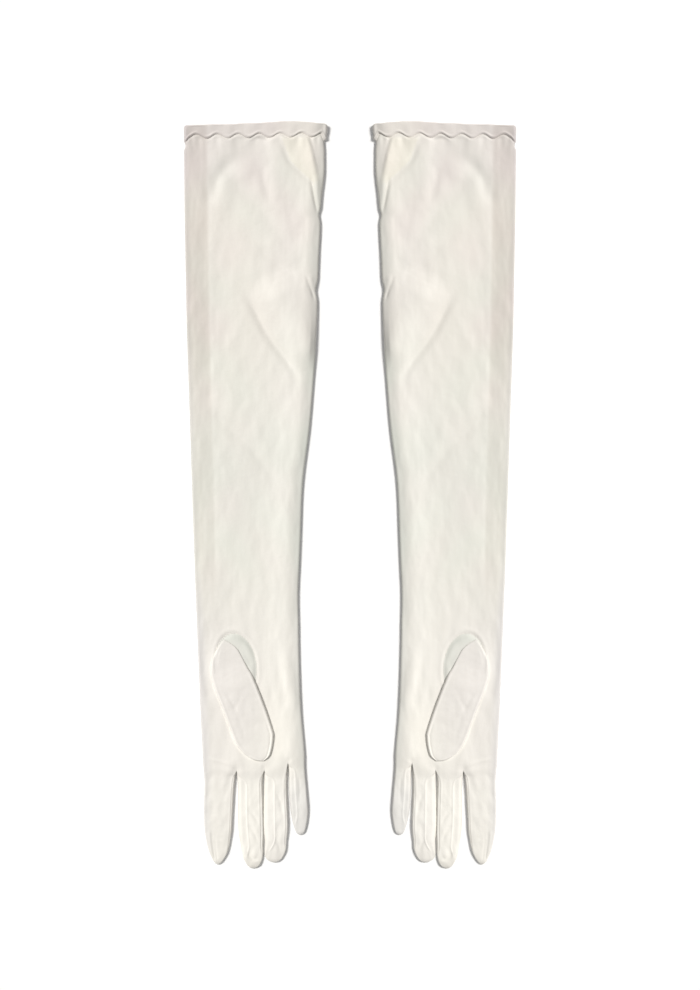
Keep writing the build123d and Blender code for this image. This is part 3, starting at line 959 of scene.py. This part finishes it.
def hand_tones_and_painted_light(x, y):
    """The same for the hand: a painted highlight along the thumb, painted shadow at the top of the thumb
    hole, painted shade beside the thumb and at the fingertips, painted highlights on the palm, and a
    lighter hand.
    """
    share = np.clip(share_across(x, y), 0, 1)
    outline = THUMB_HINGE[:2] + np.array(THUMB_LEFT) @ np.array([THUMB_ACROSS, THUMB_WAY])
    from_outline, down = along_path(x, y, curve(outline, 24))
    # painted highlight: a bright line along the thumb's left edge, on the thumb and the palm beside it,
    # where the fold catches the light
    thumb_edge_highlight = bump(from_outline, -0.2, 1.2) * smooth(down, 0, 0.12) * (1 - smooth(down, 0.88, 1))
    # painted shadow: darker just inside the top of the thumb hole, under the palm's lip
    hole_top_shadow = bump(hole_place(x, y), 0.88, 0.11) * smooth(y - THUMB_HINGE[1], 6, 22)
    off_arm = 1 - smooth(y, WRIST_Y - 30, WRIST_Y + 50)
    # painted shade: the palm is drawn a little darker along its fold side, beside the thumb
    beside_thumb_shade = smooth(y, LAST_Y - 5, LAST_Y + 10) * off_arm * (1 - smooth(share, 0.1, 0.35))
    finger = np.searchsorted([cx for cx, _ in CROTCHES], x)
    darker, reach = np.array(TIP_PAINTED_SHADE)[finger].T
    # painted shade at the fingertips
    tip_shade = darker * (1 - smooth((y - np.array(TIPS_Y)[finger]) / reach, 0.2, 1))
    return (
        (thumb_edge_highlight, (0.12, 0.12, 0.11)),
        (hole_top_shadow, (-0.07, -0.06, -0.06)),
        (beside_thumb_shade, (-0.02, -0.02, -0.015)),
        # painted highlights: two lighter patches on the palm above the finger roots, right of the thumb
        (bump(share, 0.76, 0.12) * bump(y, LAST_Y + 34, 26), (0.065, 0.06, 0.05)),
        (bump(share, 0.6, 0.22) * bump(y, LAST_Y + 16, 15), (0.035, 0.035, 0.03)),
        (1 - smooth(y, WRIST_Y - 45, WRIST_Y + 20), (0.038, 0.038, 0.038)),
        (tip_shade, (1.0, 1.0, 1.0)),
    )


def cloth_tint_and_painted_light(rest, tone):
    """The satin's colour at each point of a piece with this tone, with its painted highlights and painted
    shade.
    """
    x, y = rest[:, 0], rest[:, 1]
    finger = np.searchsorted([cx for cx, _ in CROTCHES], x)
    colour = SATIN + tone + np.array(FINGER_TONES)[finger] * smooth(LAST_Y - y, 0, 25)[:, None]
    for strength, change in (*arm_tones_and_painted_light(x, y), *hand_tones_and_painted_light(x, y)):
        colour += np.outer(strength, change)
    return np.column_stack([np.clip(colour, 0, 1), np.ones(len(rest))])


# --- Meshes ---


def new_object(name, data):
    item = bpy.data.objects.new(name, data)
    bpy.context.scene.collection.objects.link(item)
    return item


def build_mesh(name, points, faces, corner_normals, side, tone):
    """A smooth mesh object in metres, mirrored for the left hand, that keeps its rest place."""
    points, faces, corner_normals = points.copy(), faces.copy(), corner_normals.copy()
    if side == "left":
        points[:, 0] *= -1
        corner_normals[..., 0] *= -1
        faces, corner_normals = faces[:, ::-1], corner_normals[:, ::-1]
    real = faces != np.roll(faces, 1, axis=1)
    totals = real.sum(1)
    mesh = bpy.data.meshes.new(f"{side}_{name}")
    mesh.vertices.add(len(points))
    mesh.vertices.foreach_set("co", (points * MM).astype(np.float32).ravel())
    mesh.loops.add(int(totals.sum()))
    mesh.loops.foreach_set("vertex_index", faces[real].astype(np.int32))
    mesh.polygons.add(len(faces))
    starts = np.concatenate([[0], np.cumsum(totals)[:-1]])
    mesh.polygons.foreach_set("loop_start", starts.astype(np.int32))
    mesh.update(calc_edges=True)
    mesh.polygons.foreach_set("use_smooth", np.ones(len(faces), bool))
    mesh.normals_split_custom_set(corner_normals[real].astype(np.float32))
    rest = points * [SIDES[side], 1, 1]
    attribute = mesh.attributes.new("rest", "FLOAT_VECTOR", "POINT")
    attribute.data.foreach_set("vector", rest.astype(np.float32).ravel())
    tint_and_painted_light = mesh.attributes.new("tint_and_painted_light", "FLOAT_COLOR", "POINT")
    tint_and_painted_light.data.foreach_set("color", cloth_tint_and_painted_light(rest, tone).astype(np.float32).ravel())
    return new_object(mesh.name, mesh)


def cut(name, skin, label, side, tone):
    """One piece cut out of a skin: its outer face, its inner face and the cut edge between them."""
    faces = skin.faces[skin.labels == label]
    used, local = np.unique(faces, return_inverse=True)
    faces = local.reshape(-1, 4)
    count = len(used)
    outer, normals = skin.points[used], skin.normals[used]
    points = np.concatenate([outer, outer - normals * CLOTH])
    starts, ends = faces.reshape(-1), np.roll(faces, -1, axis=1).reshape(-1)
    lone = (starts != ends) & ~np.isin(starts * count + ends, ends * count + starts)
    a, b = starts[lone], ends[lone]
    rim = np.stack([b, a, a + count, b + count], axis=1)
    rim_normals = unit(face_crosses(points, rim))
    inner = faces[:, ::-1]
    corner_normals = np.concatenate(
        [normals[faces], -normals[inner], np.repeat(rim_normals[:, None], 4, axis=1)]
    )
    faces = np.concatenate([faces, inner + count, rim])
    return build_mesh(name, points, faces, corner_normals, side, tone)


def solid(name, skin, side):
    """A closed skin as a piece of its own."""
    return build_mesh(name, skin.points, skin.faces, skin.normals[skin.faces], side, PLAIN)


def thread_bar(start, end, up, tuck):
    """Loops of points around one stitch, which bows up out of the cloth between its two ends."""
    way = unit(end - start)
    side_way = unit(np.cross(way, up))
    up = np.cross(side_way, way)
    turns = np.linspace(0, 2 * math.pi, 6, endpoint=False)
    circle = np.outer(np.cos(turns), side_way) + np.outer(np.sin(turns), up)
    loops = []
    for share in np.linspace(0, 1, 5):
        radius = THREAD_R * max(0.05, math.sin(math.pi * share) ** 0.4)
        lift = (0.7 * THREAD_R - tuck) * math.sin(math.pi * share) ** 0.5 - 0.1
        loops.append(start + (end - start) * share + up * lift + radius * circle)
    loops[0][:] = loops[0].mean(axis=0)
    loops[-1][:] = loops[-1].mean(axis=0)
    return np.stack(loops)[:, ::-1]


def stitches(name, paths, skin, side, pitch, tuck):
    """A row of short thread bars along each path, standing a little out of the cloth."""
    bars = Skin()
    for path in paths:
        _, reach = lengths(path)
        count = max(2, int(reach[-1] / pitch))
        for centre in (np.arange(count) + 0.5) * reach[-1] / count:
            ends = (centre - 0.36 * pitch, centre + 0.36 * pitch)
            start, end = (np.array([np.interp(e, reach, path[:, k]) for k in range(3)]) for e in ends)
            nearest = np.argmin(((skin.points - (start + end) / 2) ** 2).sum(1))
            bars.add(thread_bar(start, end, skin.normals[nearest], tuck), "stitch")
    return solid(name, bars.weld(), side)


# --- Materials ---


class Nodes:
    """A small helper that adds nodes to a material and links them."""

    def __init__(self, name):
        self.material = bpy.data.materials.new(name)
        self.material.use_nodes = True
        self.tree = self.material.node_tree
        self.shader = self.tree.nodes["Principled BSDF"]

    def add(self, kind, inputs=(), **settings):
        node = self.tree.nodes.new(kind)
        for key, value in settings.items():
            setattr(node, key, value)
        for key, value in dict(inputs).items():
            self.put(node.inputs[key], value)
        return node

    def put(self, socket, value):
        if isinstance(value, bpy.types.NodeSocket):
            self.tree.links.new(value, socket)
        else:
            socket.default_value = value

    def maths(self, operation, *values):
        node = self.add("ShaderNodeMath", operation=operation)
        for socket, value in zip(node.inputs, values):
            self.put(socket, value)
        return node.outputs[0]

    def mix(self, factor, a, b):
        node = self.add("ShaderNodeMix", data_type="RGBA")
        for key, value in (("Factor", factor), ("A", a), ("B", b)):
            self.put(node.inputs[key], value)
        return node.outputs["Result"]

    def noise(self, where, scale, detail):
        inputs = {"Vector": where, "Scale": scale, "Detail": detail, "Roughness": 0.55}
        return self.add("ShaderNodeTexNoise", inputs).outputs["Fac"]

    def rest(self):
        return self.add("ShaderNodeAttribute", attribute_name="rest").outputs["Vector"]

    def waves(self, where, axis, pitch):
        """Threads side by side along one axis, as a value from -1 to 1."""
        split = self.add("ShaderNodeSeparateXYZ", {"Vector": where})
        return self.maths("SINE", self.maths("MULTIPLY", split.outputs[axis], 2 * math.pi / pitch))

    def bump(self, height, strength, distance):
        node = self.add("ShaderNodeBump", {"Height": height, "Strength": strength, "Distance": distance})
        self.put(self.shader.inputs["Normal"], node.outputs["Normal"])

    def finish(self, **inputs):
        for key, value in inputs.items():
            self.put(self.shader.inputs[key.replace("_", " ")], value)
        return self.material


def satin_material():
    """Stretch satin: fine warp and weft, a soft sheen, and slow uneven tone."""
    n = Nodes("ivory_satin")
    where = n.rest()
    warp, weft = n.waves(where, "X", 0.42), n.waves(where, "Y", 0.36)
    weave = n.maths("MULTIPLY", warp, weft)
    cloud = n.noise(where, 0.035, 2.0)
    grain = n.noise(where, 1.4, 4.0)
    # the tint attribute holds the satin's colour together with its painted highlights and painted shade
    tint_and_painted_light = n.add("ShaderNodeAttribute", attribute_name="tint_and_painted_light").outputs["Color"]
    lighter = n.mix(n.maths("MULTIPLY", cloud, 0.10), tint_and_painted_light, (1.0, 0.98, 0.94, 1))
    threads = n.maths("MULTIPLY_ADD", n.maths("ADD", weave, grain), 0.03, 0.02)
    colour = n.mix(threads, lighter, (0.55, 0.52, 0.46, 1))
    folds = n.noise(where, 0.16, 3.0)
    height = n.maths("MULTIPLY_ADD", grain, 0.06, n.maths("MULTIPLY", weave, 0.02))
    height = n.maths("MULTIPLY_ADD", folds, 0.35, height)
    n.bump(height, 0.6, MM)
    rough = n.maths("MULTIPLY_ADD", grain, 0.12, 0.44)
    return n.finish(
        Base_Color=colour, Roughness=rough, Sheen_Weight=0.25, Sheen_Roughness=0.4,
        Sheen_Tint=(1, 0.98, 0.95, 1), Specular_IOR_Level=0.35,
    )


def thread_material():
    """Polyester sewing thread: twisted plies."""
    n = Nodes("ivory_thread")
    where = n.rest()
    split = n.add("ShaderNodeSeparateXYZ", {"Vector": where})
    slant = n.maths("ADD", split.outputs["X"], split.outputs["Y"])
    ply = n.maths("SINE", n.maths("MULTIPLY", slant, 2 * math.pi / 0.3))
    fibre = n.noise(where, 3.0, 2.0)
    colour = n.mix(n.maths("MULTIPLY", fibre, 0.5), (0.80, 0.765, 0.70, 1), (0.72, 0.68, 0.61, 1))
    n.bump(ply, 0.5, 0.05 * MM)
    return n.finish(Base_Color=colour, Roughness=0.5, Sheen_Weight=0.2, Specular_IOR_Level=0.3)


def elastic_material():
    """Braided elastic: matt ribs along its length, crossed by covering yarns."""
    n = Nodes("white_elastic")
    where = n.rest()
    ribs, yarns = n.waves(where, "Y", 1.0), n.waves(where, "X", 0.7)
    fluff = n.noise(where, 2.2, 3.0)
    shade = n.maths("MULTIPLY_ADD", n.maths("ADD", ribs, fluff), 0.15, 0.2)
    colour = n.mix(shade, (0.86, 0.85, 0.82, 1), (0.66, 0.65, 0.61, 1))
    n.bump(n.maths("MULTIPLY_ADD", yarns, 0.5, ribs), 0.6, 0.12 * MM)
    return n.finish(Base_Color=colour, Roughness=0.85, Sheen_Weight=0.4)


def table_material():
    n = Nodes("white_table")
    where = n.add("ShaderNodeTexCoord").outputs["Object"]
    soft = n.noise(where, 3.0, 2.0)
    colour = n.mix(n.maths("MULTIPLY", soft, 0.2), (0.93, 0.93, 0.93, 1), (0.91, 0.91, 0.91, 1))
    return n.finish(Base_Color=colour, Roughness=0.9)


# --- The pair ---


class Glove:
    """One glove: its pieces are cut from the skins, and those that ride on one body are joined to it."""

    def __init__(self, side, parts, materials):
        self.side = side
        self.skin, self.seams, self.thumb, self.thumb_seams, self.band = parts
        self.materials = materials
        self.pieces = []
        self.add_hem()
        self.add_sleeve()
        self.add_hand()
        self.add_thumb()
        for name in FINGERS:
            self.add_finger(name)

    def add(self, piece, slot, place, *nodes):
        """Place is a joint in BENDS, at which the piece is left unattached, or the one body that it rides
        on.
        """
        piece.data.materials.append(self.materials[slot])
        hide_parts(*(f"{self.side}_{node}" for node in nodes))
        if place in BENDS:
            self.bend(piece)
        else:
            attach(piece, f"{self.side}_{place}")
        self.pieces.append(piece)

    def bend(self, piece):
        """Bakes the piece's placement into its mesh and leaves it unattached to any body."""
        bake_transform(piece)

    def cloth(self, name, skin, label, place, *nodes, tone=PLAIN):
        self.add(cut(name, skin, label, self.side, tone), "satin", place, *nodes)

    def stitches(self, name, paths, skin, place, *nodes, pitch=STITCH_PITCH, tuck=0.0):
        self.add(stitches(name, paths, skin, self.side, pitch, tuck), "thread", place, *nodes)

    def add_hem(self):
        self.cloth("hem_casing", self.skin, "casing", "arm", "hem_band", tone=HEM_TONE)
        self.add(solid("hem_braided_elastic", self.band, self.side), "elastic", "arm", "hem_elastic")
        self.stitches("hem_stitches", self.seams["wave"], self.skin, "arm", "hem_thread", pitch=HEM_PITCH)

    def add_sleeve(self):
        seam = self.seams["side"][self.seams["side"][:, 1] > SPLIT_Y][4:]
        threads = ("upper_seam_thread", "forearm_seam_thread")
        self.cloth("sleeve_satin", self.skin, "sleeve", "elbow", "upper_sleeve", "forearm_sleeve")
        self.stitches("sleeve_stitches", [seam], self.skin, "elbow", *threads, tuck=0.15)

    def add_hand(self):
        seam = self.seams["side"][self.seams["side"][:, 1] <= SPLIT_Y]
        self.cloth("hand_satin", self.skin, "hand", "wrist", "palm_and_back")
        self.stitches("palm_stitches", [seam], self.skin, "wrist", "palm_seam_thread", tuck=0.15)

    def add_thumb(self):
        hole = ("hand", "thumb_hole_thread")
        closing = ("thumb_flex", "thumb_closing_thread")
        self.cloth("thumb_gusset_satin", self.skin, "gusset", "hand", "thumb_gusset", tone=GUSSET_PAINTED_SHADE)
        self.stitches("thumb_hole_stitches", [hole_line()], self.skin, *hole, pitch=FINE_PITCH)
        self.cloth("thumb_satin", self.thumb, "thumb_stall", "thumb_flex", "thumb_stall", tone=THUMB_TONE)
        self.stitches("thumb_closing_stitches", self.thumb_seams, self.thumb, *closing, tuck=0.1)

    def add_finger(self, name):
        flex, seams = f"{name}_flex", (self.seams[name], self.skin)
        self.stitches(f"{name}_stitches", *seams, flex, f"{name}_seam_thread", pitch=FINE_PITCH, tuck=0.1)
        for part in ("stall", "radial_fourchette", "ulnar_fourchette"):
            label = f"{name}_{part}"
            if label in self.skin.labels:
                self.cloth(f"{label}_satin", self.skin, label, flex, label)


def hole_line():
    """The part of the thumb hole's seam that the thumb leaves open to view."""
    turns = np.radians(np.linspace(-25, 118, 60))
    u, v = HOLE_RADII[0] * np.cos(turns), HOLE_RADII[1] * np.sin(turns)
    x = HOLE_MIDDLE[0] + u * math.cos(HOLE_LEAN) - v * math.sin(HOLE_LEAN)
    y = HOLE_MIDDLE[1] + u * math.sin(HOLE_LEAN) + v * math.cos(HOLE_LEAN)
    return np.column_stack([x, y, palm_height(x, y)])


# --- Table, light and camera ---


TABLE_Z = -0.45  # just under the gloves' lowest points
TABLE_REACH = 3000.0
TABLE_BLEND = 16.0  # each half fades into the other over this distance beyond the middle
TABLE_STRIP = 0.5
KEY = 3.05
KEY_FROM = (0.62, 0.38, 0.92)  # from outside the glove, from the hem end, and from above
KEY_ANGLE = math.radians(18)
FILL = 0.36
WALL = 0.9  # brightness of the surroundings where the camera sees them
VIEW_HEIGHT = 0.792  # metres across the picture's height
LENS = 120


def build_table(side):
    """Half of the table top, lit by its own glove's light.

    The halves meet in fine strips that grow from one into the other, so a shadow that crosses the
    middle fades there and doesn't stop at a line."""
    strips = [(TABLE_BLEND, TABLE_REACH)]
    for k in range(-round(TABLE_BLEND / TABLE_STRIP), round(TABLE_BLEND / TABLE_STRIP)):
        share = smooth((k + 0.5) * TABLE_STRIP, -TABLE_BLEND, TABLE_BLEND)
        strips.append(((k + 1 - share) * TABLE_STRIP, (k + 1) * TABLE_STRIP))
    points, faces = [], []
    for low, high in strips:
        ends = sorted(-SIDES[side] * x * MM for x in (low, high))
        first = len(points)
        far = TABLE_REACH * MM
        points += [(ends[0], -far, 0), (ends[1], -far, 0), (ends[1], far, 0), (ends[0], far, 0)]
        faces.append((first, first + 1, first + 2, first + 3))
    mesh = bpy.data.meshes.new(f"{side}_table")
    mesh.from_pydata(points, [], faces)
    table = new_object(mesh.name, mesh)
    table.location.z = TABLE_Z * MM
    return table


def key_light(side, lit):
    """A distant softbox up and outside of one glove, which lights only that half."""
    data = bpy.data.lights.new(f"{side}_key", "SUN")
    data.energy = KEY
    data.angle = KEY_ANGLE
    data.color = (1.0, 0.985, 0.96)
    light = new_object(data.name, data)
    towards = Vector((SIDES[side] * -KEY_FROM[0], KEY_FROM[1], KEY_FROM[2]))
    light.rotation_euler = towards.to_track_quat("Z", "Y").to_euler()
    group = bpy.data.collections.new(f"{side}_lit")
    for lit_object in lit:
        group.objects.link(lit_object)
    light.light_linking.receiver_collection = group


def build_world():
    """A soft fill light from all round, seen by the camera as a pale wall."""
    world = bpy.data.worlds.new("studio")
    world.use_nodes = True
    tree = world.node_tree
    path = tree.nodes.new("ShaderNodeLightPath")
    strength = tree.nodes.new("ShaderNodeMapRange")
    tree.links.new(path.outputs["Is Camera Ray"], strength.inputs["Value"])
    strength.inputs["To Min"].default_value = FILL
    strength.inputs["To Max"].default_value = WALL
    background = tree.nodes["Background"]
    background.inputs["Color"].default_value = (1, 1, 1, 1)
    tree.links.new(strength.outputs["Result"], background.inputs["Strength"])
    bpy.context.scene.world = world
    bpy.context.scene.view_settings.view_transform = "Standard"


def build_camera():
    """Straight above the pair, far enough away for an almost flat view."""
    data = bpy.data.cameras.new("camera")
    data.lens = LENS
    data.clip_end = 20
    camera = new_object("camera", data)
    camera.location = (0, 0, VIEW_HEIGHT * data.lens / data.sensor_width)
    bpy.context.scene.camera = camera


skin, seams, hem_upper, hem_lower = glove_skin()
parts = (skin, seams, *thumb_skin(), elastic(hem_upper, hem_lower))
materials = {"satin": satin_material(), "thread": thread_material(), "elastic": elastic_material()}
table_white = table_material()
for side in SIDES:
    table = build_table(side)
    table.data.materials.append(table_white)
    key_light(side, [*Glove(side, parts, materials).pieces, table])
build_world()
build_camera()
